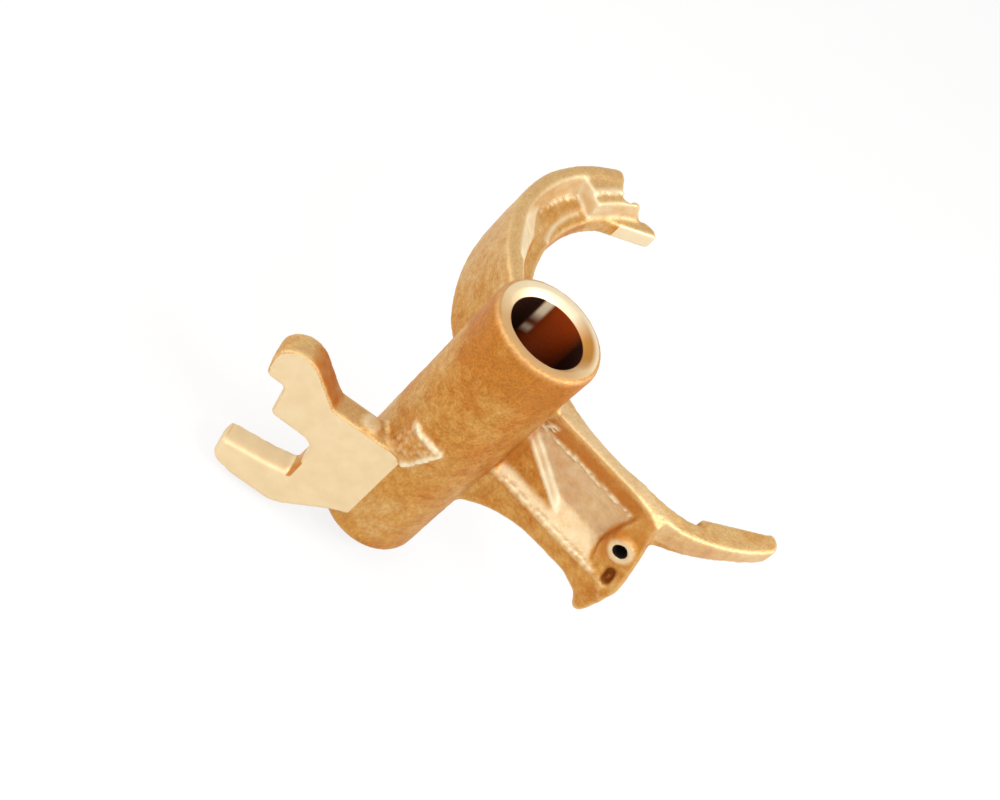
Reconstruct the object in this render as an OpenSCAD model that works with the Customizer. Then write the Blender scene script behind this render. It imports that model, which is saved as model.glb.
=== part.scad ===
// Transmission shift fork, cast in bronze as one piece.
// The origin is on the rail bore's axis, level with the middle of the pads.
// +Z runs along the bore to the prong end of the hub, +X points to the sleeve's axis.

/* [Hub] */
// Diameter of the hub at its prong end
hub_d = 25; // [24.5:0.25:26]
// Diameter of the hub at its gate end
hub_far_d = 23.4; // [23:0.2:24.4]
// Length of the hub
hub_length = 69.5; // [66:0.5:72]
// Height of the prong end above the middle of the pads
hub_top = 19.2; // [18:0.2:21]
// Diameter of the rail bore
bore_d = 17; // [14:0.5:18]
// Chamfer at both mouths of the bore
bore_chamfer = 1; // [0.4:0.1:1.4]
// Rounding of the hub's two rims
hub_round = 1.2; // [0.6:0.1:1.6]

/* [Fork] */
// Radius of the arms' inner wall, clear of the sleeve
arm_r = 41; // [38:0.5:46]
// Gap between the hub and the sleeve's space
sleeve_gap = 0.5; // [0.2:0.1:1]
// How far the pads stand in from the arms' inner wall
pad_reach = 2.3; // [1.9:0.1:2.8]
// Thickness of the pads
pad_t = 4.4; // [3.8:0.1:4.8]
// Turn of the mouth away from the line between the axes
mouth_turn = 16.5; // [15:0.5:18]

/* [Upper arm] */
// Growth of the outer wall's radius over the inner one, about a centre of its own
upper_w = 2.7; // [2.2:0.1:3.4]
// Height of the outer flange above the middle of the pads
upper_top = 8.7; // [8.2:0.1:9.4]
// Height of the rim along the outer wall above the upper tread
rim_h = 0.6; // [0.3:0.1:1]
// Rounding of the outer wall's upper edge
upper_round = 1; // [0.6:0.1:2]
// Height of the lower tread at the tip above the middle of the pads
upper_rim = 7.2; // [6.4:0.1:7.8]
// Reach of the lower tread out from the arm's inner wall
tread_w = 4.2; // [3.8:0.1:4.6]
// Reach of the pad's seat out from the arm's inner wall
seat_w = 1.1; // [0.8:0.1:1.5]
// Height of the pocket's floor
pocket_floor = 3.1; // [2.7:0.1:4]
// Depth of the upper arm below the middle of the pads at the hub
upper_root = 14; // [12:0.2:15]

/* [Lower arm and web] */
// Height of the lower arm's lip above the middle of the pads
lip_top = 4.3; // [3.7:0.1:4.9]
// Width of the lip outside the sleeve's space
lip_w = 3.3; // [2.8:0.1:3.8]
// Thickness of the web's floor outside the sleeve's space
floor_w = 1.3; // [0.9:0.1:1.7]
// Width of the bar outside the sleeve's space
bar_w = 6.2; // [5.6:0.1:6.8]
// Depth of the web's back under the sleeve's space
web_back = 2.9; // [2.4:0.1:3.6]
// Height of the plateau beside the hub above the web's floor
plateau_h = 2.6; // [2:0.1:3]
// Depth of the bar's upper edge below the middle of the pads
bar_drop = 16.4; // [15.8:0.1:17]
// Width of the lower prong
lower_w = 4.2; // [3.6:0.1:4.6]
// Diameter of the pin hole in the lug
pin_d = 3.3; // [2.8:0.1:3.8]
// Wall of the boss round the pin hole
boss_w = 1.4; // [1.1:0.1:1.8]

/* [Gate] */
// Thickness of the gate
gate_t = 6.3; // [5.5:0.1:7]
// Distance of the gate's front face from the bore's axis
gate_front = 11.1; // [10.6:0.1:11.4]
// Depth of the gate's upper edge below the middle of the pads
gate_drop = 22.3; // [21.5:0.1:23]
// Height of the gate from its upper edge down
gate_h = 32.9; // [32:0.1:34]
// Distance of the jaws' ends from the bore's axis
gate_reach = 35.3; // [34.6:0.1:36.2]
// Distance of the slot's end wall from the bore's axis
slot_end = 19.8; // [19:0.1:20.6]
// Depth of the slot's upper edge below the gate's upper edge
slot_drop = 11; // [10.4:0.1:11.6]
// Width of the slot at its end wall
slot_w = 12.5; // [11.8:0.1:13]
// Radius of the slot's round corner
slot_round = 4; // [3:0.1:4.6]
// Fall of the lower jaw's upper edge from the slot's end wall to the jaw's end
jaw_fall = 2.2; // [1.8:0.1:3]
// Length of the ramp from that edge to the slot's end wall
ramp_l = 5; // [4:0.1:6]
// Rounding of the lower jaw's upper edge at the front
jaw_round = 1.8; // [1.2:0.1:2.4]
// Radius of the hook at the end of the upper jaw
hook_r = 5; // [4.5:0.1:5.4]
// Radius of the round boss on the gate's root
root_boss_r = 2.3; // [1.8:0.1:2.6]
// Height of the low pad on the hub above the gate's root
hub_pad_h = 0.8; // [0.5:0.1:1.1]

/* [Hidden] */
$fn = 72;
bronze = [0.78, 0.55, 0.28];
web_turn = -59.8;
gate_turn = 136;
hub_bottom = hub_top - hub_length;
sleeve_x = hub_d / 2 + sleeve_gap + arm_r;
half_pad = pad_t / 2;
pad_v = arm_r - pad_reach;
upper_c = [-4.5, 8];
upper_r = arm_r + upper_w;
tread_r = arm_r + tread_w;
seat_r = arm_r + seat_w;
lower_r = arm_r + lower_w;
// the hub's axis in the web's own frame, whose origin is where the sleeve's space comes nearest
hub_x = -sleeve_x * cos(web_turn);
hub_y = arm_r + sleeve_x * sin(web_turn);
pin_at = [15.4, -8];
slot_z = -gate_drop - slot_drop;
slot_low = slot_z - slot_w;
gate_low = -gate_drop - gate_h;

// A wedge of the plane between two angles about the sleeve's axis.
module wedge(a0, a1) {
    am = (a0 + a1) / 2;
    far = 2 * arm_r;
    polygon([[0, 0], far * [cos(a0), sin(a0)], 1.1 * far * [cos(am), sin(am)], far * [cos(a1), sin(a1)]]);
}

// A slab of an upright outline, given along the web or the gate, between two depths.
module slab(y0, y1) {
    translate([0, y1, 0])
    rotate([90, 0, 0])
    linear_extrude(y1 - y0)
    children();
}

// A length of one section, given in depth and height, along the web.
module run(x0, x1) {
    translate([x0, 0, 0])
    rotate([90, 0, 90])
    linear_extrude(x1 - x0)
    children();
}

// A turned cut about the sleeve's axis, between two angles, of a section in radius and height.
module turned_cut(a0, a1) {
    rotate([0, 0, a0])
    rotate_extrude(angle = a1 - a0)
    children();
}

// The web's own frame: x along the web, y inwards from its nearest point to the sleeve's axis.
module along_web() {
    rotate([0, 0, web_turn])
    translate([-hub_x, -hub_y, 0])
    children();
}

module hub() {
    rotate_extrude()
    union() {
        polygon([[1, hub_bottom], [hub_far_d / 2 - hub_round, hub_bottom],
                 [hub_far_d / 2, hub_bottom + hub_round], [hub_d / 2, hub_top - hub_round],
                 [hub_d / 2 - hub_round, hub_top], [1, hub_top]]);
        translate([hub_d / 2 - hub_round, hub_top - hub_round]) circle(hub_round);
        translate([hub_far_d / 2 - hub_round, hub_bottom + hub_round]) circle(hub_round);
    }
}

module bore() {
    rotate_extrude()
    polygon([[0, hub_bottom - 1], [bore_d / 2 + bore_chamfer + 1, hub_bottom - 1],
             [bore_d / 2, hub_bottom + bore_chamfer], [bore_d / 2, hub_top - bore_chamfer],
             [bore_d / 2 + bore_chamfer + 1, hub_top + 1], [0, hub_top + 1]]);
}

// The round of the upper arm's outer wall, about its own centre, with its rounded upper edge.
module upper_round_body() {
    translate(upper_c)
    rotate_extrude()
    union() {
        polygon([[20, -upper_root], [upper_r, -upper_root], [upper_r, upper_top - upper_round],
                 [upper_r - upper_round, upper_top], [20, upper_top]]);
        translate([upper_r - upper_round, upper_top - upper_round]) circle(upper_round, $fn = 32);
    }
}

// What the upper arm leaves free: the sleeve's space, and all beyond the upper tread's end.
module upper_free_plan() {
    circle(arm_r);
    polygon([[-1, arm_r - 1], [1.2, arm_r + 4.2], [2.9, arm_r + 7.6], [3.2, arm_r + 9.2], [2.6, arm_r + 12],
             [90, arm_r + 12], [90, -60], [-90, -60], [-90, 0], [0, 0]]);
}

module upper_arm() {
    cut_top = upper_top + 1;
    pocket_at = (arm_r + 7.6) * [cos(117.5), sin(117.5)];
    translate([sleeve_x, 0, 0])
    difference() {
        union() {
            difference() {
                upper_round_body();
                translate([0, 0, -upper_root - 1])
                linear_extrude(upper_root + upper_top + 2)
                upper_free_plan();
            }
            // the lower tread reaches further than the upper one, with a slanted end
            translate([0, 0, -half_pad - 1])
            linear_extrude(half_pad + 1 + upper_rim)
            difference() {
                polygon([[-4, arm_r - 1], [5.5, arm_r - 1], [5.5, arm_r + 0.9], [2.1, arm_r + 1.8],
                         [1, arm_r + 3], [1, tread_r - 0.2], [-4, tread_r - 0.2]]);
                circle(arm_r);
            }
        }
        // the upper tread, a little below the rim
        translate(upper_c)
        turned_cut(60, 99)
        polygon([[20, upper_top - rim_h], [upper_r - 3.4, upper_top - rim_h], [upper_r - 2.9, cut_top],
                 [20, cut_top]]);
        // the pocket inside the outer wall, with a slanted end towards the hub
        intersection() {
            translate(upper_c)
            turned_cut(60, 170)
            polygon([[20, pocket_floor], [upper_r - 4.8, pocket_floor], [upper_r - 2.8, cut_top],
                     [20, cut_top]]);
            translate([pocket_at[0], pocket_at[1], pocket_floor])
            rotate([0, 0, -32.6])
            slab(-25, 25)
            polygon([[0, 0], [60, 0], [60, 9], [-10.6, 9]]);
            turned_cut(101, 150)
            polygon([[30, 0], [arm_r + 19, 0], [arm_r + 19, cut_top], [30, cut_top]]);
        }
        // the inner band, level with the pad
        turned_cut(101, 182)
        polygon([[30, half_pad], [arm_r + 3, half_pad], [arm_r + 7, cut_top], [30, cut_top]]);
        // the two treads at the tip
        turned_cut(60, 103)
        polygon([[30, upper_rim], [tread_r, upper_rim], [tread_r, cut_top], [30, cut_top]]);
        turned_cut(60, 103)
        polygon([[30, half_pad], [seat_r, half_pad], [seat_r, cut_top], [30, cut_top]]);
        // the underside, rising from the hub to the tip
        slab(0, arm_r + 29)
        polygon([[-arm_r - 4, -upper_root], [-14, -half_pad], [26, -half_pad], [26, -upper_root - 9],
                 [-arm_r - 4, -upper_root - 9]]);
    }
}

module upper_pad() {
    translate([sleeve_x, 0, -half_pad])
    linear_extrude(pad_t)
    intersection() {
        circle(seat_r + 0.4);
        wedge(71.5, 99);
        rotate([0, 0, -mouth_turn])
        polygon([[-24, pad_v], [1.6, pad_v], [1.6, pad_v + 1.9], [-2.6, pad_v + 5.3], [-24, pad_v + 5.3]]);
    }
}

module lower_pad() {
    translate([sleeve_x, 0, -half_pad])
    linear_extrude(pad_t)
    intersection() {
        circle(arm_r + 1);
        wedge(246, 272.5);
        rotate([0, 0, -mouth_turn]) translate([-20, -pad_v - 12]) square([40, 12]);
    }
}

// The lower arm seen from above: a straight side from the hub, then an arc to the tip.
module lower_plan() {
    difference() {
        union() {
            along_web()
            polygon([[hub_x, -lip_w], [10.8, -lip_w], [14, 1.4 - lip_w], [14, 14.3], [hub_x, 14.3]]);
            translate([sleeve_x, 0])
            intersection() {
                circle(lower_r);
                wedge(222, 271);
            }
            translate([sleeve_x, 0])
            rotate([0, 0, 270.6])
            translate([arm_r + lower_w / 2 - 1, 0])
            circle(lower_w / 2 + 1);
        }
        translate([sleeve_x, 0])
        difference() {
            circle(arm_r);
            rotate([0, 0, -mouth_turn]) translate([-30, -pad_v - 12]) square([60, 12]);
        }
    }
}

module lower_arm() {
    intersection() {
        translate([0, 0, -10]) linear_extrude(20) lower_plan();
        along_web()
        slab(-6, arm_r + 20)
        union() {
            // the lip along the web
            polygon([[hub_x, lip_top - 1.4], [hub_x, lip_top], [8.8, lip_top], [20.8, half_pad], [20.8, 0],
                     [14.8, lip_top - 1.4]]);
            // the prong, thinner to its tip
            polygon([[16.3, 1], [18.8, half_pad], [arm_r + 12, half_pad], [arm_r + 12, -half_pad],
                     [32.8, -half_pad], [16.8, -5.4], [16.3, -5.4]]);
        }
    }
}

// A section of the bar's upper slope, in depth and height, that rises to the web's floor.
module slope_section(inside, bar_z, rise) {
    polygon([[-bar_w, bar_z - 0.1], [inside, bar_z + rise], [inside, bar_z - 2], [-bar_w, bar_z - 2]]);
}

// The web under the lower arm, with its bar, plateau and lug.
module web() {
    inside = 0.1 - floor_w;
    bar_z = -bar_drop;
    plateau = -floor_w - plateau_h;
    along_web() {
        slab(-floor_w, web_back)
        polygon([[hub_x, 2.6], [14.8, 2.6], [16.8, -1], [18.9, -8], [20.8, -16.3], [20.6, -22.9],
                 [hub_x, -22.9]]);
        // the slope from the lip to the floor
        run(hub_x, 14.8)
        polygon([[-lip_w, lip_top - 1.2], [inside, -2.2], [web_back - 1, -2.2],
                 [web_back - 1, lip_top - 1.2]]);
        // the bar, with its hollow lower side
        slab(-bar_w, web_back)
        difference() {
            polygon([[hub_x, bar_z], [21.3, bar_z], [20.6, bar_z - 5.7], [2.8, bar_z - 5.7],
                     [-14.8, bar_z - 20.8], [hub_x, bar_z - 20.8]]);
            translate([2.8, bar_z - 30.7]) circle(25);
        }
        // the bead along the bar's upper edge
        slab(-bar_w - 0.5, -bar_w + 1)
        polygon([[hub_x + 10, bar_z + 0.2], [17.6, bar_z + 0.2], [20.2, bar_z - 3.4], [19.6, bar_z - 3.8],
                 [17.2, bar_z - 0.5], [hub_x + 10, bar_z - 0.5]]);
        // the bar's upper slope, wider towards the lug
        hull() {
            run(hub_x, hub_x + 0.1) slope_section(inside, bar_z, 0.2);
            run(2.9, 3) slope_section(inside, bar_z, 4.7);
        }
        run(2.9, 12.2) slope_section(inside, bar_z, 4.7);
        // the plateau beside the hub, with its slanted edge
        intersection() {
            slab(plateau, inside)
            polygon([[hub_x, 0], [-12.8, 0], [0.4, bar_z + 2.8], [0.4, bar_z - 1], [hub_x, bar_z - 1]]);
            translate([-12.8, 0, -5.4])
            rotate([0, 32, 0])
            run(hub_x - 3, 40)
            polygon([[plateau, -0.3], [inside, 0], [inside, -30], [plateau, -30]]);
        }
        lug(inside, bar_z);
        // the foot
        slab(-bar_w, web_back - 2)
        union() {
            polygon([[10.8, bar_z - 4.8], [21.1, bar_z - 2.8], [20.4, bar_z - 7.1], [19.8, bar_z - 9.8],
                     [18.4, bar_z - 10.9], [17.1, bar_z - 9.9], [15.8, bar_z - 7.8], [10.8, bar_z - 5.7]]);
            translate([18.4, bar_z - 9.5]) circle(1.4);
        }
    }
}

// The lug, leaning out to the bar, with its boss.
module lug(inside, bar_z) {
    intersection() {
        slab(-bar_w, inside)
        polygon([[13.2, 2.9], [17.2, 1.9], [17.2, -0.4], [19.4, -7.3], [21.4, bar_z + 0.9],
                 [21.3, bar_z - 0.8], [13.8, bar_z - 0.8], [11.4, bar_z + 5.5], [12, -5.3]]);
        run(0, 24)
        polygon([[0.3 - lip_w, 3.4], [1.4 - bar_w, bar_z + 4.2], [-bar_w, bar_z - 0.1], [-bar_w, bar_z - 2.6],
                 [inside, bar_z - 2.6], [inside, 3.4]]);
    }
    translate([pin_at[0], inside, pin_at[1]])
    rotate([90, 0, 0])
    cylinder(r = pin_d / 2 + boss_w, h = bar_w - 1 + inside);
}

// A point of the lower jaw's upper edge at a distance from the bore's axis.
function jaw_line(x) = [x, slot_low - jaw_fall * (x - slot_end) / (gate_reach - slot_end)];

module gate_outline() {
    hook = [gate_reach - 1.7, 2.9 - gate_drop];
    difference() {
        union() {
            polygon([[3, -gate_drop], [gate_reach - 12.9, -gate_drop], hook + [-3.4, 4], hook + [0, hook_r],
                     hook + [hook_r, 0], hook + [4, -hook_r], hook + [-0.7, -0.4 - hook_r],
                     [hook[0] - 2, slot_z], [gate_reach, slot_z - 6.7], [gate_reach, gate_low + 3.8],
                     [gate_reach - 3, gate_low + 0.8],
                     [gate_reach - 6, gate_low], [slot_end - 0.4, gate_low], [slot_end - 2.9, gate_low + 1.2],
                     [9, gate_low + 7.7], [3, gate_low + 12.2]]);
            translate(hook) circle(hook_r);
            translate([gate_reach - 3, gate_low + 3.8]) circle(3);
        }
        // the slot, with one round corner and a short ramp to its end wall
        difference() {
            polygon([[slot_end, slot_z], [gate_reach + 5, slot_z + 0.3],
                     jaw_line(gate_reach + 5), jaw_line(slot_end + ramp_l), [slot_end, slot_low + 0.6]]);
            difference() {
                translate([slot_end - 1, slot_z - slot_round]) square(slot_round + 1);
                translate([slot_end + slot_round, slot_z - slot_round]) circle(slot_round);
            }
        }
    }
}

module gate() {
    rotate([0, 0, gate_turn]) {
        difference() {
            slab(gate_front - gate_t, gate_front)
            gate_outline();
            jaw_edge();
        }
        // the low pad on the hub above the gate's root
        intersection() {
            slab(4, gate_front + 3)
            translate([0, -gate_drop])
            polygon([[4.6, -0.7], [0.4, 9], [8.4, 9], [9.4, -0.7]]);
            translate([0, 0, -gate_drop - 8]) cylinder(r = hub_d / 2 - 0.4 + hub_pad_h, h = 20);
        }
        // the round boss on the root
        translate([14.1, gate_front - gate_t / 2, -gate_drop - 1])
        cylinder(r1 = root_boss_r + 0.2, r2 = root_boss_r - 0.4, h = 1.9);
    }
}

// The section of the edge that the rounding takes off.
module jaw_corner() {
    difference() {
        translate([-jaw_round, -jaw_round]) square(jaw_round + 1);
        translate([-jaw_round, -jaw_round]) circle(jaw_round);
    }
}

// The rounding of the lower jaw's upper edge, and of the ramp up to the slot's end wall.
module jaw_edge() {
    bend = jaw_line(slot_end + ramp_l);
    ramp_turn = atan((slot_low + 0.6 - bend[1]) / ramp_l);
    translate([bend[0], gate_front, bend[1]]) {
        rotate([0, atan(jaw_fall / (gate_reach - slot_end)), 0])
        run(-0.1, gate_reach - slot_end) jaw_corner();
        rotate([0, ramp_turn, 0])
        run(-ramp_l / cos(ramp_turn), 0.1) jaw_corner();
    }
}

module pin_hole() {
    along_web()
    translate([pin_at[0], web_back + 5, pin_at[1]])
    rotate([90, 0, 0])
    cylinder(d = pin_d, h = web_back + bar_w + 10);
}

// The blind pocket between the lug's boss and the bar's end.
module lug_pocket() {
    along_web()
    slab(-bar_w - 2, 5 - bar_w)
    translate([17.8, 1.6 - bar_drop])
    rotate(12)
    square([2.2, 4.4], center = true);
}

module shift_fork() {
    color(bronze)
    difference() {
        union() {
            hub();
            difference() {
                union() {
                    upper_arm();
                    lower_arm();
                    web();
                }
                translate([sleeve_x, 0, -6]) cylinder(r = arm_r, h = 30);
            }
            upper_pad();
            lower_pad();
            gate();
        }
        bore();
        pin_hole();
        lug_pocket();
    }
}

shift_fork();
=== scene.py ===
import math

import bmesh
import bpy
import numpy as np
from mathutils import Matrix, Vector, noise


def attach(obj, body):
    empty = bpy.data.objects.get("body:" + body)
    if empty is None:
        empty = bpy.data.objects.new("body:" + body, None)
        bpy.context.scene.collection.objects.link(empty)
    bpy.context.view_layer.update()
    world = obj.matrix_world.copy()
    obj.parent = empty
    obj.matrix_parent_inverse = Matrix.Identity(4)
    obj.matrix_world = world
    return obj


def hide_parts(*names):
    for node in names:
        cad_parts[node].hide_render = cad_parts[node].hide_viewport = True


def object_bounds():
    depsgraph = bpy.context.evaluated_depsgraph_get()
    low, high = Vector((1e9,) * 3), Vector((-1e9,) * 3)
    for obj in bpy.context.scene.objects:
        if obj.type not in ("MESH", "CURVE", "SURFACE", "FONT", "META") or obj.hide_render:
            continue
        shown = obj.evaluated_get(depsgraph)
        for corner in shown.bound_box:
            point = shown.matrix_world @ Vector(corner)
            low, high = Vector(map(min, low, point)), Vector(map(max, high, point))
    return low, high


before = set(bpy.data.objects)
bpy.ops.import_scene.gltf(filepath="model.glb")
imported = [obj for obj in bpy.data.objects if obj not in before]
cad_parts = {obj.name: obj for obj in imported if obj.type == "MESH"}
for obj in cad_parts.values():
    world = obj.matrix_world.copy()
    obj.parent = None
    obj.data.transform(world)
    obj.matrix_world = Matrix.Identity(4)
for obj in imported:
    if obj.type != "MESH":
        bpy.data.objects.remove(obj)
CAD_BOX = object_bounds()

MM = 0.001

# Sizes of the fork that the looks depend on, in millimetres, in the part's frame
HUB_TOP = 19.2
HUB_BOTTOM = -50.3
HUB_FACE_R = 11.6
BORE_R = 8.5
BORE_CHAMFER = 1.3
SLEEVE_X = 54.0
ARM_R = 41.0
SEAT_R = 42.1
TREAD_R = 45.2
UPPER_C = (SLEEVE_X - 4.5, 8.0)
UPPER_R = 43.7
UPPER_RIM = 7.2
POCKET_FLOOR = 3.1
POCKET_BOTTOM = 2.2
CROSS_TURN = 102.0
SLANT_FOOT = (48.6, 117.5)
SLANT = (0.545, -0.349, 0.762)
PAD_V = 38.7
PAD_HALF = 2.2
PAD_RUN = (-9.4, 18.0)
MOUTH_TURN = -16.5
GATE_TURN = 136.0
GATE_FRONT = 11.1
GATE_BACK = 4.8
GATE_TOP = -22.3
GATE_REACH = 35.3
SLOT_END = 19.8
SLOT_TOP = -33.3
JAW_LOW = -49.4
JAW_END = -40.0
WEB_TURN = -59.8
WEB_SIDE = math.radians(WEB_TURN - 90)
WEB_AT = (SLEEVE_X + ARM_R * math.cos(WEB_SIDE), ARM_R * math.sin(WEB_SIDE))
WEB_FLOOR_W = 1.3
WEB_FLOOR_TOP = -2.2
LIP_W = 3.3
BAR_W = 6.2
BAR_Z = -16.4
PLATEAU_LEAN = 32.0
PLATEAU_EDGE = (-12.8, -5.4)
PIN_AT = (15.4, -8.0)
PIN_R = 1.65
BOSS_R = 3.05
BOSS_FACE = 1.0 - BAR_W
LUG_POCKET_AT = (17.8, -14.8)
LUG_POCKET_LEAN = 12.0
LUG_POCKET_HALF = (1.4, 2.5)
ROOT_BOSS_AT = (14.1, 7.95)
ROOT_BOSS_R = 2.3
HUB_PAD = ((9.4, -23.0), (8.4, -13.3), (0.4, -13.3), (4.6, -23.0))

# Corners of the cast fillet that ends the lower tread of the upper arm
TREAD_END = ((58.0, 41.91, 7.2), (58.0, 43.4, 7.2), (59.3, 41.76, 7.2), (59.6, 42.3, 7.2),
             (58.0, 41.91, 1.0), (58.0, 43.4, 1.0), (63.4, 41.04, 1.6), (62.6, 41.9, 1.6))

# The skin of a sand casting, in millimetres: rounded corners, waves as length and height, flash beads,
# and the angle in degrees above which an edge stays sharp
VOXEL = 0.46
FILLET = 0.5
GROWTH = 0.12
SOFTENING = 2
WAVES = ((6.0, 0.10), (1.7, 0.06))
BEAD_WIDTH = 0.7
BEAD_HEIGHT = 0.7
SHARP = 40.0

# Half the soft edge of a mark, and how many millimetres one whole unit of a normal counts for
SOFT = 0.35
TILT = 1.5

# Colours, in linear light, and the ramps that vary them
CAST = ((0.0, (0.51, 0.185, 0.020)), (0.45, (0.58, 0.285, 0.060)), (1.0, (0.64, 0.40, 0.16)))
RUBBED = (0.80, 0.58, 0.30, 1)
# painted shade for concave corners
CORNER_SHADE = (0.36, 0.13, 0.02, 1)
# painted highlight for faces that catch the light and for the flash beads
HIGHLIGHT_PAINT = (0.77, 0.655, 0.435, 1)
# painted shade under and between parts and in recesses
SHADE_PAINT = (0.55, 0.19, 0.022, 1)
FRESH = ((0.35, (0.80, 0.61, 0.35)), (0.65, (0.84, 0.66, 0.40)))
# cut metal with a painted highlight
CUT_HIGHLIGHT = (0.86, 0.77, 0.57, 1)
# painted gold shade on cut metal
GOLDEN_SHADE = (0.50, 0.21, 0.022, 1)
# painted shade in the bore, black and browner on one side, and its painted highlight streak
BORE_SHADE = (0.035, 0.010, 0.004, 1)
BORE_SHADE_BROWN = (0.55, 0.070, 0.001, 1)
BORE_STREAK = (0.98, 0.82, 0.56, 1)
# painted black shade inside the pin hole and the lug's pocket
HOLE_SHADE = (0.012, 0.005, 0.002, 1)
FLOOR_GREY = (0.85, 0.85, 0.85, 1)
SKY = (1, 0.99, 0.97, 1)

# How bright the painted highlight streak in the bore is, from the pads' level up to the hub's end
STREAK_FADE = ((0.40, 0.0), (0.48, 0.7), (0.51, 0.7), (0.57, 0.05), (0.60, 0.05), (0.75, 1.0))

# Directions about the bore, in degrees: the ring's painted shade, the painted shade in its mouth, the browner
# painted shade in the bore, the painted highlight streak
RING_SHADE_TURN = 215
MOUTH_SHADE_TURN = -30
BORE_BROWN_TURN = 26
STREAK_TURN = 57

# Depth of the sand's grain and of the reamer's rings, in metres
SAND_DEPTH = 0.0003
RING_DEPTH = 0.00004

# The photo's view, in millimetres, degrees and pixels: where the eye stands, what it looks at, and its roll
EYE = Vector((-240.4, -139.9, 231.7))
LOOK_AT = Vector((15.9, 5.4, -16.4))
ROLL = 46.64
FOCAL = 1800.0
FRAME_WIDTH = 1000.0
SENSOR = 36.0

# The floor, in metres, and how much of its own shade it keeps for the camera
FLOOR_SIZE = 6
FLOOR_GAP = 0.002
FLOOR_SHADE = 0.2

# Light from all round, and lamps: name, azimuth and elevation in degrees, distance and size in metres, watts
WORLD = 0.77
LAMPS = (
    ("key", -98, 50, 0.5, 0.14, 0.7),
    ("front", 195, 42, 0.5, 0.30, 0.5),
    ("left", 140, 25, 0.5, 0.35, 0.75),
    ("right", -50, 35, 0.5, 0.30, 1.2),
)


def cos_sin(degrees):
    return math.cos(math.radians(degrees)), math.sin(math.radians(degrees))


def link(obj):
    bpy.context.scene.collection.objects.link(obj)
    return obj


def applied(obj):
    """The object's mesh with its modifiers applied, in place of the old one."""
    shown = obj.evaluated_get(bpy.context.evaluated_depsgraph_get())
    mesh = bpy.data.meshes.new_from_object(shown)
    obj.modifiers.clear()
    obj.data = mesh
    return obj


# Casting

def cast_body(node):
    """A copy of the CAD solid with the rounded corners of a sand casting."""
    body = link(bpy.data.objects.new("fork_casting", node.data.copy()))
    body.data.materials.clear()
    bm = bmesh.new()
    bm.from_mesh(body.data)
    bmesh.ops.convex_hull(bm, input=[bm.verts.new(Vector(corner) * MM) for corner in TREAD_END])
    bm.to_mesh(body.data)
    bm.free()

    def remesh():
        mod = body.modifiers.new("remesh", "REMESH")
        mod.mode = "VOXEL"
        mod.voxel_size = VOXEL * MM

    def swell(distance):
        mod = body.modifiers.new("swell", "DISPLACE")
        mod.mid_level = 0.0
        mod.strength = distance * MM

    remesh()
    swell(FILLET)
    remesh()
    swell(GROWTH - FILLET)
    remesh()
    soften = body.modifiers.new("soften", "SMOOTH")
    soften.factor = 0.5
    soften.iterations = SOFTENING
    return applied(body)


def revolved(name, profile, steps=128):
    """A closed solid of revolution about Z from (radius, height) points, with a flat face at each end."""
    bm = bmesh.new()
    rings = []
    for r, z in profile:
        ring = [bm.verts.new((r * MM * math.cos(a), r * MM * math.sin(a), z * MM))
                for a in (2 * math.pi * i / steps for i in range(steps))]
        rings.append(ring)
    for low, high in zip(rings, rings[1:]):
        for i in range(steps):
            j = (i + 1) % steps
            bm.faces.new((low[i], low[j], high[j], high[i]))
    bm.faces.new(list(reversed(rings[0])))
    bm.faces.new(rings[-1])
    mesh = bpy.data.meshes.new(name)
    bm.to_mesh(mesh)
    bm.free()
    return link(bpy.data.objects.new(name, mesh))


def bore_cutter():
    """The bore with a chamfer at each end, and a little more beyond the hub."""
    over = 1.0
    wide = BORE_R + BORE_CHAMFER + over
    return revolved("bore_cutter", [(wide, HUB_BOTTOM - over), (BORE_R, HUB_BOTTOM + BORE_CHAMFER),
                                    (BORE_R, HUB_TOP - BORE_CHAMFER), (wide, HUB_TOP + over)])


def cut(body, cutter):
    """Cuts one closed mesh out of the body."""
    mod = body.modifiers.new("cut", "BOOLEAN")
    mod.operation = "DIFFERENCE"
    mod.solver = "EXACT"
    mod.object = cutter
    applied(body)
    mesh = cutter.data
    bpy.data.objects.remove(cutter)
    bpy.data.meshes.remove(mesh)


# Surface marks. A plain number in a margin is where the mark starts or ends in its local frame, in
# millimetres or degrees, or the least part of a normal that it takes.

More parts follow.
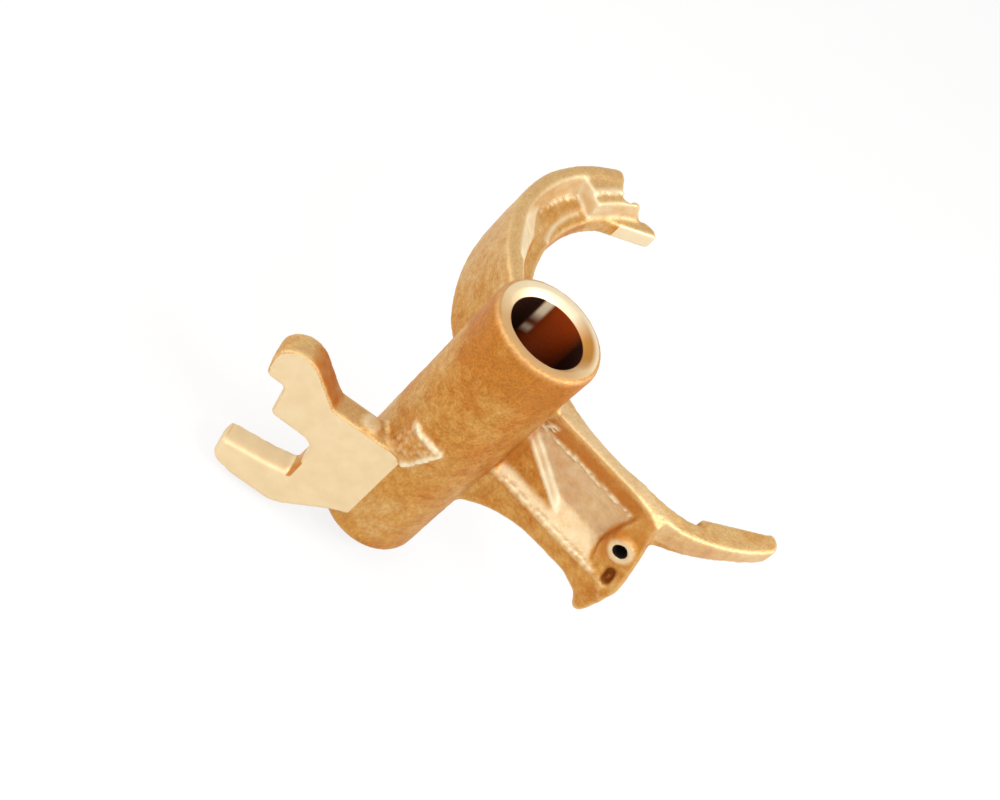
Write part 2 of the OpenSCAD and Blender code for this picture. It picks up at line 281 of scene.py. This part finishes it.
class Skin:
    """A mesh's points, normals and edges as arrays, in millimetres."""

    def __init__(self, mesh):
        self.mesh = mesh
        edges = np.empty(len(mesh.edges) * 2, np.int32)
        mesh.edges.foreach_get("vertices", edges)
        edges = edges.reshape(-1, 2)
        self.here = np.concatenate((edges[:, 0], edges[:, 1]))
        self.there = np.concatenate((edges[:, 1], edges[:, 0]))
        self.degree = np.maximum(np.bincount(self.here, minlength=len(mesh.vertices)), 1)
        self.read()

    def read(self):
        """Takes the points and normals from the mesh."""
        flat = np.empty(len(self.mesh.vertices) * 3, np.float32)
        self.mesh.vertices.foreach_get("co", flat)
        self.points = flat.reshape(-1, 3).astype(float) / MM
        self.mesh.vertex_normals.foreach_get("vector", flat)
        self.normals = flat.reshape(-1, 3).astype(float)

    def local(self, angle, centre=(0.0, 0.0)):
        """Points and normals, as rows of coordinates, in a frame turned in plan about a centre."""
        c, s = cos_sin(angle)
        back = np.array(((c, -s, 0), (s, c, 0), (0, 0, 1)))
        return ((self.points - (*centre, 0)) @ back).T, (self.normals @ back).T

    def polar(self, centre):
        """Radius, angle in degrees, height and outward part of the normal about an upright axis."""
        (x, y, z), (nx, ny, _) = self.local(0, centre)
        r = np.hypot(x, y)
        turn = np.degrees(np.arctan2(y, x)) % 360
        return r, turn, z, (nx * x + ny * y) / np.maximum(r, 1e-6)

    def blurred(self, values, times):
        """Values at the vertices, averaged with their neighbours."""
        for _ in range(times):
            near = np.bincount(self.here, weights=values[self.there], minlength=len(values))
            values = (values + near / self.degree) / 2
        return values

    def grain(self, length):
        """Smooth noise of about this wavelength at the vertices."""
        return np.array([noise.noise(Vector(p) / length) for p in self.points])

    def store(self, name, values):
        """Keeps one number a vertex in the mesh, for the material."""
        marks = self.mesh.attributes.new(name, "FLOAT", "POINT")
        marks.data.foreach_set("value", values.astype(np.float32))

    def move(self, offsets):
        """Moves each vertex along its normal."""
        moved = self.points + self.normals * offsets[:, None]
        self.mesh.vertices.foreach_set("co", (moved * MM).astype(np.float32).ravel())
        self.mesh.update()
        self.read()


def within(*margins):
    """1 where all the margins, in millimetres, are above zero, 0 where one is below, with a soft edge."""
    return np.clip(np.minimum.reduce(margins) / (2 * SOFT) + 0.5, 0, 1)


def most(*marks):
    return np.maximum.reduce(marks)


def from_pin(x, z):
    """Distance from the pin hole's axis of places in the web's frame."""
    return np.hypot(x - PIN_AT[0], z - PIN_AT[1])


def machined(skin):
    """1 where a face is cut after casting, 0 where it is as cast."""
    r, _, z, _ = skin.polar((0, 0))
    marks = [within(BORE_R + BORE_CHAMFER + 0.1 - r),
             within(HUB_FACE_R - r, z - HUB_TOP + 0.4),
             within(HUB_FACE_R - r, HUB_BOTTOM + 0.4 - z)]

    (x, y, z), (_, ny, _) = skin.local(GATE_TURN)
    top = GATE_TOP + np.where(x > SLOT_END + 0.2, 12, -0.2)
    on_gate = np.minimum.reduce((x - 5, top - z, z + 47.7 + 0.8 * (x - 9)))
    marks.append(within(on_gate, 0.45 - np.abs(y - GATE_FRONT), (ny - 0.88) * 2 * TILT))
    marks.append(within(on_gate, 0.45 - np.abs(y - GATE_BACK), (-ny - 0.7) * TILT))
    past_end = x - SLOT_END + np.interp(z, (JAW_END - 1, JAW_END + 1), (-0.5, 0.7))
    marks.append(within(past_end, GATE_REACH - 0.6 - x, SLOT_TOP + 0.5 - z, z - JAW_LOW, y - GATE_BACK + 0.5))

    (x, y, z), (_, ny, _) = skin.local(MOUTH_TURN, (SLEEVE_X, 0))
    marks.append(within(0.6 - np.abs(np.abs(y) - PAD_V), PAD_RUN[1] - x, x - PAD_RUN[0],
                        PAD_HALF + 0.2 - np.abs(z), (-np.sign(y) * ny - 0.55) * TILT))
    return most(*marks)


def upper_highlights(skin):
    """Painted highlights on faces of the upper arm: the pocket's slanted end, its cross wall, its rim and the
    treads.
    """
    r, turn, z, out = skin.polar((SLEEVE_X, 0))
    radius, angle = SLANT_FOOT
    foot = radius * np.array((*cos_sin(angle), 0))
    foot += (SLEEVE_X, 0, POCKET_FLOOR)
    slant = np.array(SLANT)
    off = (skin.points - foot) @ slant
    end = within(0.8 - np.abs(off), r - SEAT_R - 0.6, z - 4.3, 8.5 - z,
                 (skin.normals @ slant - 0.86) * 2 * TILT)
    c, s = cos_sin(CROSS_TURN)
    along = skin.normals @ np.array((-s, c, 0))
    cross = within((2.6 - np.abs(turn - CROSS_TURN)) * 0.75, z - POCKET_BOTTOM, (along - 0.45) * TILT, 52 - r)
    at_tip = np.minimum(turn - 80, 102.5 - turn) * 0.75
    riser = within(0.7 - np.abs(r - SEAT_R), at_tip, z - 2.4, UPPER_RIM - z, (-out - 0.4) * TILT)
    step = within(0.7 - np.abs(r - TREAD_R), at_tip, z - UPPER_RIM, 8.4 - z, (-out - 0.3) * TILT)
    r, turn, z, out = skin.polar(UPPER_C)
    wall = within(r - UPPER_R + 5.2, UPPER_R - 2 - r, z - POCKET_FLOOR - 0.4, (turn - 96) * 0.6,
                  (134 - turn) * 0.6, (-out - 0.3) * TILT)
    near_end = np.clip((128 - turn) / 30, 0, 1)
    return most(0.9 * end, cross, 0.6 * riser, 0.8 * step, (0.1 + 0.5 * near_end) * wall)


def web_highlights(skin):
    """Painted highlights on faces of the web and the lower prong, and on two of the gate: its round boss and
    its outer ends.
    """
    (x, y, z), (nx, ny, nz) = skin.local(WEB_TURN, WEB_AT)
    slope = within(x + 24, 13.4 - x, z - BAR_Z + 0.3, BAR_Z + 4.9 - z, y + BAR_W + 0.2, -1.2 - y,
                   (nz - 0.45) * TILT, (0.3 - np.abs(nx)) * TILT)
    rise, lean = cos_sin(PLATEAU_LEAN)
    off = (x - PLATEAU_EDGE[0]) * lean + (z - PLATEAU_EDGE[1]) * rise
    edge = within(0.8 - np.abs(off), y + 4.3, -0.8 - y, (lean * nx + rise * nz - 0.35) * TILT, 1.5 - x)
    floor = within(0.6 - np.abs(y + WEB_FLOOR_W), (-ny - 0.7) * TILT, x + 16, 12.5 - x,
                   z - BAR_Z - 4, -1.8 - z)
    boss = within(BOSS_R - 0.1 - from_pin(x, z), 0.6 - np.abs(y - BOSS_FACE))
    lip = within(x + 15, 20 - x, y + LIP_W + 0.4, 0.5 - y, z - 0.5, (nz - 0.8) * TILT)
    r, turn, z, out = skin.polar((SLEEVE_X, 0))
    prong = within((turn - 231) * 0.75, (out - 0.5) * TILT, r - 44, 46 - r, 3 - z, z + 3)
    (x, y, z), (nx, _, nz) = skin.local(GATE_TURN)
    ends = within(x - SLOT_END - 1, -24 - z, (nx - 0.25) * TILT, (0.75 - nz) * TILT)
    from_disc = np.hypot(x - ROOT_BOSS_AT[0], y - ROOT_BOSS_AT[1])
    disc = within(ROOT_BOSS_R - 0.2 - from_disc, z - GATE_TOP - 0.4, -19 - z)
    return most(0.65 * slope, edge, 0.45 * floor, 0.55 * boss, 0.3 * prong, 0.35 * lip, 0.55 * disc,
                0.6 * ends)


def lug_pocket(skin):
    """1 inside the blind pocket of the lug."""
    (x, y, z), _ = skin.local(WEB_TURN, WEB_AT)
    c, s = cos_sin(LUG_POCKET_LEAN)
    half_width, half_length = LUG_POCKET_HALF
    u, v = x - LUG_POCKET_AT[0], z - LUG_POCKET_AT[1]
    return within(half_width - np.abs(c * u + s * v), half_length - np.abs(c * v - s * u),
                  y + BAR_W - 0.4, -0.6 - y)


def painted_shade(skin):
    """Where brown shade is painted: under the lip, by the hub, beside the boss, on the lug, on the hook and
    in the slot.
    """
    (x, y, z), (_, ny, nz) = skin.local(WEB_TURN, WEB_AT)
    under_lip = within(x + 14.6, 12.4 - x, y + LIP_W, -1.1 - y, z - WEB_FLOOR_TOP, 3.2 - z,
                       (-ny - 0.5) * TILT, (-nz - 0.15) * TILT)
    from_hub = np.hypot(skin.points[:, 0], skin.points[:, 1])
    at_hub = within(14.2 - from_hub, y + 4.4, -0.8 - y, z - BAR_Z - 0.6, -1.6 - z)
    beside_boss = within(1.0 - np.abs(from_pin(x, z) - BOSS_R - 0.8), 14.4 - x, y + 5.2, -0.6 - y,
                         z - BAR_Z - 3)
    facet = within(x - 11.8, 18 - x, z + 5.2, 2.5 - z, y + 6, -1.4 - y, (-ny - 0.5) * TILT)
    (x, y, z), (nx, _, _) = skin.local(GATE_TURN)
    hook_side = within(x - 21.5, 33 - x, z - GATE_TOP - 0.3, GATE_FRONT - 0.4 - y, y - GATE_BACK - 0.2,
                       (-nx - 0.3) * TILT)
    slot_end = within(0.6 - np.abs(x - SLOT_END), y - 8.4, z - JAW_LOW - 2, JAW_END - z, (nx - 0.3) * TILT)
    return most(0.9 * under_lip, 0.7 * at_hub, 0.9 * beside_boss, 0.35 * facet, lug_pocket(skin), hook_side,
                slot_end)


def hole_shade(skin):
    """Above 0 inside the pin hole, which is painted black as shade, and below 0 inside the pocket beside it,
    which is painted darker.
    """
    (x, y, z), _ = skin.local(WEB_TURN, WEB_AT)
    return within(PIN_R + 0.1 - from_pin(x, z), y - BOSS_FACE + 0.5) - 0.25 * lug_pocket(skin)


def tone_and_painted_light(skin):
    """0 where the cast skin is a deep orange, 1 where it is tan: on top as painted light on faces that look
    up, on the upper arm and low on the hub, and darker in the upper arm's pocket as painted shade.
    """
    x, y, z = skin.points.T
    # faces that look up are paler: painted light
    up = np.clip((skin.normals[:, 2] - 0.3) / 0.6, 0, 1)
    below_ring = np.clip((z - 6) / 7, 0, 1) * within(13.2 - np.hypot(x, y))
    r, turn, _, _ = skin.polar(UPPER_C)
    # the upper arm's pocket is darker: painted shade
    in_pocket = within(UPPER_R - 3.4 - r, (turn - 96.5) * 0.6, POCKET_FLOOR + 0.6 - z, z + 1)
    return (0.3 + 0.6 * up + 0.35 * np.clip((y - 3) / 22, 0, 1) + 0.2 * np.clip((-18 - z) / 25, 0, 1)
            - 0.6 * below_ring - 0.55 * in_pocket)


def ring_light_and_shade(skin):
    """1 on the side of the hub's end ring that is painted gold shade, below 0 where cut metal is brightest:
    the ring's other side, with a painted highlight, and the pads.
    """
    r, turn, z, _ = skin.polar((0, 0))
    # painted gold shade on one side of the ring and a painted highlight on the other
    round_ring = np.clip(1.5 * np.cos(np.radians(turn - RING_SHADE_TURN)), -1, 1)
    ring = round_ring * within(z - HUB_TOP + 2.4, HUB_FACE_R + 1 - r)
    (x, y, _), _ = skin.local(MOUTH_TURN, (SLEEVE_X, 0))
    return ring - 0.6 * within(0.8 - np.abs(np.abs(y) - PAD_V), PAD_RUN[1] - np.abs(x))


def bead(across, along, start, end):
    """A soft bead along a line, from a distance to the line and a place along it."""
    return np.exp(-(across / BEAD_WIDTH) ** 2) * within(along - start, end - along)


def hub_pad(skin):
    """The rough low pad on the hub above the gate's root, and the bead along two of its edges."""
    (x, y, z), _ = skin.local(GATE_TURN)
    on_hub = within(y - 5, 13.6 - np.hypot(x, y))
    inside, beads = [], []
    for (x0, z0), (x1, z1) in zip(HUB_PAD, HUB_PAD[1:]):
        length = math.hypot(x1 - x0, z1 - z0)
        along = ((x - x0) * (x1 - x0) + (z - z0) * (z1 - z0)) / length
        across = ((x - x0) * (z1 - z0) - (z - z0) * (x1 - x0)) / length
        inside.append(-across)
        beads.append(bead(across, along, 0.0, length))
    return on_hub * within(*inside, z - GATE_TOP), on_hub * most(*beads[1:])


def flash(skin):
    """Height of the beads that the mould left along inner corners, beside the hub and on its low pad."""
    (x, y, z), _ = skin.local(WEB_TURN, WEB_AT)
    r, turn, h, _ = skin.polar(UPPER_C)
    tip_r, tip_turn, _, _ = skin.polar((SLEEVE_X, 0))
    beads = most(
        bead(np.hypot(y + WEB_FLOOR_W, z - WEB_FLOOR_TOP), x, -15, 11.8),
        0.55 * bead(np.hypot(y + BAR_W - 0.2, z - BAR_Z - 0.2), x, -23, 15),
        bead(np.hypot(r - UPPER_R + 4.8, h - POCKET_FLOOR), turn, 98, 122),
        bead(np.hypot(tip_r - TREAD_R, h - UPPER_RIM), tip_turn, 88, 101),
        np.exp(-((x + 13.2) ** 2 + (z + 0.6) ** 2) / 5.0) * within(-0.6 - y, y + 5.5))
    rim_r = TREAD_R - 1.4 - 0.005 * np.clip(tip_turn - 107, 0, 20) ** 2
    rim = 0.42 * bead(np.hypot(tip_r - rim_r, h - POCKET_BOTTOM), tip_turn, 103.5, 126)
    pad, pad_edge = hub_pad(skin)
    rough = np.clip(1.5 * skin.grain(1.1) + 0.5, 0, 1)
    pits = np.clip(1.5 * skin.grain(0.8) + 0.4, 0, 1)
    return most(beads * rough, rim, pad_edge * (0.3 + 0.6 * rough), 0.22 * pad * pits)


def relief(skin):
    """Below zero on edges that stand out, above zero in corners, from a blur of the shape."""
    smooth = np.stack([skin.blurred(axis, 8) for axis in skin.points.T], axis=1)
    return np.einsum("ij,ij->i", smooth - skin.points, skin.normals)


def finish_surface(mesh):
    """Gives the casting its beads and waviness, and stores where it is cut, where highlights and shade are
    painted, how tan its skin is, and where it is bored.
    """
    skin = Skin(mesh)
    cut_faces = machined(skin)
    beads = flash(skin)
    on_bead = np.clip(beads * 1.8, 0, 1)
    uneven = skin.grain(2.2)
    # painted highlights on faces that catch the light, and on the flash beads
    wear_and_highlight = most(upper_highlights(skin), web_highlights(skin)) * (0.92 + 0.35 * uneven)
    # painted shade under and between parts and in recesses
    shade_amount = skin.blurred(painted_shade(skin), 2) * (0.9 + 0.5 * uneven)
    skin.store("machined", cut_faces)
    skin.store("painted_highlight", most(wear_and_highlight, np.minimum(on_bead, 0.9)))
    skin.store("painted_shade", shade_amount * (1 - on_bead))
    skin.store("hole_shade", hole_shade(skin))
    skin.store("tone_and_light", tone_and_painted_light(skin))
    skin.store("ring_light_and_shade", ring_light_and_shade(skin))
    skin.store("bored", within(BORE_R + 0.1 - np.hypot(skin.points[:, 0], skin.points[:, 1])))
    skin.move(BEAD_HEIGHT * beads)
    skin.store("relief", skin.blurred(relief(skin), 1))
    keep = 1 - np.clip(skin.blurred(cut_faces, 4) * 2, 0, 1)
    skin.move(keep * sum(height * skin.grain(length) for length, height in WAVES))


# Materials

def bronze():
    """As-cast bronze with a sandy skin, paler cut metal on the machined faces, and a bore painted dark as
    shade with a painted highlight streak.
    """
    mat = bpy.data.materials.new("cast_bronze")
    mat.use_nodes = True
    nodes, links = mat.node_tree.nodes, mat.node_tree.links
    shader = nodes["Principled BSDF"]
    place = nodes.new("ShaderNodeTexCoord").outputs["Object"]

    def mark(name):
        n = nodes.new("ShaderNodeAttribute")
        n.attribute_name = name
        return n.outputs["Fac"]

    def grains(scale, detail, roughness):
        n = nodes.new("ShaderNodeTexNoise")
        links.new(place, n.inputs["Vector"])
        n.inputs["Scale"].default_value = scale
        n.inputs["Detail"].default_value = detail
        n.inputs["Roughness"].default_value = roughness
        return n.outputs["Fac"]

    def ramp(fac, *stops):
        n = nodes.new("ShaderNodeValToRGB")
        links.new(fac, n.inputs["Fac"])
        while len(n.color_ramp.elements) < len(stops):
            n.color_ramp.elements.new(0.5)
        for element, (at, colour) in zip(n.color_ramp.elements, stops):
            element.position = at
            element.color = (*colour, 1)
        return n.outputs["Color"]

    def spread(value, low, high, to_low=0.0, to_high=1.0):
        n = nodes.new("ShaderNodeMapRange")
        links.new(value, n.inputs["Value"])
        for name, number in zip(("From Min", "From Max", "To Min", "To Max"), (low, high, to_low, to_high)):
            n.inputs[name].default_value = number
        return n.outputs["Result"]

    def feed(node, *inputs):
        for index, value in inputs:
            if isinstance(value, bpy.types.NodeSocket):
                links.new(value, node.inputs[index])
            else:
                node.inputs[index].default_value = value

    def mix(fac, a, b, how="MIX"):
        """A mix of two colours."""
        n = nodes.new("ShaderNodeMix")
        n.data_type = "RGBA"
        n.blend_type = how
        feed(n, (0, fac), (6, a), (7, b))
        return n.outputs[2]

    def blend(fac, a, b):
        """A mix of two numbers."""
        n = nodes.new("ShaderNodeMix")
        feed(n, (0, fac), (2, a), (3, b))
        return n.outputs[0]

    def math_of(operation, a, b):
        n = nodes.new("ShaderNodeMath")
        n.operation = operation
        links.new(a, n.inputs[0])
        links.new(b, n.inputs[1])
        return n.outputs[0]

    def vector(operation, a, b=None):
        n = nodes.new("ShaderNodeVectorMath")
        n.operation = operation
        links.new(a, n.inputs[0])
        if b:
            n.inputs[1].default_value = b
        return n.outputs["Value" if operation in ("DOT_PRODUCT", "LENGTH") else "Vector"]

    def towards(angle, wide, narrow):
        """0 to 1 round the bore from one angle off a direction to a smaller one."""
        near = vector("DOT_PRODUCT", outward, (*cos_sin(angle), 0))
        return spread(near, cos_sin(wide)[0], cos_sin(narrow)[0])

    def grey(value, *stops):
        return ramp(value, *((at, (shade, shade, shade)) for at, shade in stops))

    blotches = grains(75, 4, 0.62)
    mottle = grains(420, 4, 0.7)
    sand = grains(1700, 2, 0.6)
    shift = math_of("ADD", spread(blotches, 0.3, 0.7, -0.5, 0.5), spread(mottle, 0.3, 0.7, -0.2, 0.2))
    # the tone carries painted light on upward faces and painted shade in the upper arm's pocket
    hue = math_of("ADD", mark("tone_and_light"), shift)
    patchy = mix(0.25, ramp(hue, *CAST), grey(mottle, (0.36, 0.36), (0.64, 0.66)), "OVERLAY")
    sandy = mix(0.30, patchy, grey(sand, (0.36, 0.3), (0.64, 0.7)), "OVERLAY")

    # edges that stand out are worn bright, corners get a little painted shade
    bend = mark("relief")
    wear_and_highlight = mix(spread(bend, -0.05, -0.22, 0.0, 0.85), sandy, RUBBED)
    corner_shaded = mix(spread(bend, 0.08, 0.34, 0.0, 0.35), wear_and_highlight, CORNER_SHADE)
    # painted highlights: paler, less metallic and a little smoother
    bright = mark("painted_highlight")
    # painted shade under and between parts and in recesses
    with_painted_shade = mix(mark("painted_shade"), mix(bright, corner_shaded, HIGHLIGHT_PAINT), SHADE_PAINT)

    # cut metal, with painted gold shade on one side of the hub's end ring and of its mouth, and a painted
    # highlight on the ring's other side
    is_cut = spread(mark("machined"), 0.4, 0.6)
    is_bore = spread(mark("bored"), 0.58, 0.635)
    fresh = ramp(grains(260, 3, 0.6), *FRESH)
    flat = vector("MULTIPLY", place, (1, 1, 0))
    outward = vector("NORMALIZE", flat)
    rim = spread(vector("LENGTH", flat), (HUB_FACE_R - 1.6) * MM, (HUB_FACE_R - 0.5) * MM, 0.95, 0.0)
    shaded = math_of("MULTIPLY", rim, towards(MOUTH_SHADE_TURN, 52, 14))
    tint = mark("ring_light_and_shade")
    cut_shade = math_of("MAXIMUM", shaded, spread(tint, 0, 1, 0, 0.6))
    cut_lit = mix(spread(tint, 0, -1, 0, 0.6), fresh, CUT_HIGHLIGHT)
    coloured = mix(is_cut, with_painted_shade, mix(cut_shade, cut_lit, GOLDEN_SHADE))

    # the bore is painted dark as shade, browner on one side, with a painted highlight streak along it
    dark_bore = mix(towards(BORE_BROWN_TURN, 42, 12), BORE_SHADE, BORE_SHADE_BROWN)
    height = nodes.new("ShaderNodeSeparateXYZ")
    links.new(place, height.inputs[0])
    along_streak = grey(spread(height.outputs["Z"], 0, HUB_TOP * MM), *STREAK_FADE)
    streak = math_of("MULTIPLY", towards(STREAK_TURN, 9, 4), along_streak)
    with_bore = mix(is_bore, coloured, mix(streak, dark_bore, BORE_STREAK))
    # the pin hole is painted black and the lug's pocket darker, as shade
    depth = mark("hole_shade")
    dark = math_of("MAXIMUM", spread(depth, 0.45, 0.62), spread(depth, 0, -1))
    links.new(mix(dark, with_bore, HOLE_SHADE), shader.inputs["Base Color"])

    rough = blend(is_cut, spread(bright, 0, 1, 0.52, 0.45), 0.50)
    links.new(blend(dark, blend(is_bore, rough, 0.45), 0.9), shader.inputs["Roughness"])
    matt = math_of("MAXIMUM", math_of("MULTIPLY", is_bore, streak), bright)
    links.new(spread(matt, 0, 1, 0.7, 0.25), shader.inputs["Metallic"])

    # the sand's grain, almost gone from cut faces
    skin_bump = nodes.new("ShaderNodeBump")
    links.new(sand, skin_bump.inputs["Height"])
    skin_bump.inputs["Distance"].default_value = SAND_DEPTH
    links.new(blend(is_cut, spread(bright, 0, 1, 0.5, 0.2), 0.05), skin_bump.inputs["Strength"])

    # the reamer's fine rings
    rings = nodes.new("ShaderNodeTexWave")
    rings.bands_direction = "Z"
    rings.inputs["Scale"].default_value = 1100
    rings.inputs["Distortion"].default_value = 1.5
    rings.inputs["Detail"].default_value = 2
    links.new(place, rings.inputs["Vector"])
    ring_bump = nodes.new("ShaderNodeBump")
    links.new(rings.outputs["Fac"], ring_bump.inputs["Height"])
    ring_bump.inputs["Distance"].default_value = RING_DEPTH
    links.new(is_bore, ring_bump.inputs["Strength"])
    links.new(skin_bump.outputs["Normal"], ring_bump.inputs["Normal"])
    links.new(ring_bump.outputs["Normal"], shader.inputs["Normal"])
    return mat


def white_for_camera(tree, base, keep):
    """Mixes a shader with plain white for the camera and reflections, and keeps part of it for shadows."""
    nodes, links = tree.nodes, tree.links
    path = nodes.new("ShaderNodeLightPath")
    seen = nodes.new("ShaderNodeMath")
    seen.operation = "MAXIMUM"
    links.new(path.outputs["Is Camera Ray"], seen.inputs[0])
    links.new(path.outputs["Is Glossy Ray"], seen.inputs[1])
    share = nodes.new("ShaderNodeMath")
    share.operation = "MULTIPLY"
    share.inputs[1].default_value = 1 - keep
    links.new(seen.outputs[0], share.inputs[0])
    white = nodes.new("ShaderNodeEmission")
    white.inputs["Strength"].default_value = 1.0
    both = nodes.new("ShaderNodeMixShader")
    links.new(share.outputs[0], both.inputs[0])
    links.new(base, both.inputs[1])
    links.new(white.outputs[0], both.inputs[2])
    return both.outputs[0]


def floor_material():
    mat = bpy.data.materials.new("white_floor")
    mat.use_nodes = True
    shader = mat.node_tree.nodes["Principled BSDF"]
    shader.inputs["Base Color"].default_value = FLOOR_GREY
    shader.inputs["Roughness"].default_value = 0.9
    shown = white_for_camera(mat.node_tree, shader.outputs[0], FLOOR_SHADE)
    mat.node_tree.links.new(shown, mat.node_tree.nodes["Material Output"].inputs["Surface"])
    return mat


# The object
body = cast_body(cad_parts["shift_fork"])
cut(body, bore_cutter())
finish_surface(body.data)
body.data.materials.append(bronze())
body.data.shade_smooth()
body.data.set_sharp_from_angle(angle=math.radians(SHARP))
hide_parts("shift_fork")
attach(body, "root")

# Floor
bpy.ops.mesh.primitive_plane_add(size=FLOOR_SIZE, location=(0, 0, CAD_BOX[0][2] - FLOOR_GAP))
floor = bpy.context.object
floor.name = "floor"
floor.data.materials.append(floor_material())

# Light
world = bpy.data.worlds.new("studio")
bpy.context.scene.world = world
world.use_nodes = True
background = world.node_tree.nodes["Background"]
background.inputs["Color"].default_value = SKY
background.inputs["Strength"].default_value = WORLD
for name, azimuth, elevation, distance, size, power in LAMPS:
    data = bpy.data.lights.new(name, "AREA")
    data.shape = "DISK"
    data.size = size
    data.energy = power
    lamp = link(bpy.data.objects.new(name, data))
    (east, north), (level, up) = cos_sin(azimuth), cos_sin(elevation)
    direction = Vector((east * level, north * level, up))
    lamp.location = LOOK_AT * MM + distance * direction
    lamp.rotation_euler = (-direction).to_track_quat("-Z", "Y").to_euler()

# Camera
camera = bpy.data.cameras.new("photo")
camera.sensor_width = SENSOR
camera.sensor_fit = "HORIZONTAL"
camera.lens = FOCAL / FRAME_WIDTH * SENSOR
camera.clip_start = 0.01
camera.dof.use_dof = False
eye = link(bpy.data.objects.new("photo", camera))
ahead = (LOOK_AT - EYE).normalized()
right = ahead.cross(Vector((0, 0, 1))).normalized()
up = right.cross(ahead)
c, s = cos_sin(ROLL)
side = right * c + up * s
top = side.cross(ahead)
eye.matrix_world = Matrix.Translation(EYE * MM) @ Matrix((side, top, -ahead)).transposed().to_4x4()
bpy.context.scene.camera = eye
bpy.context.scene.view_settings.view_transform = "Standard"
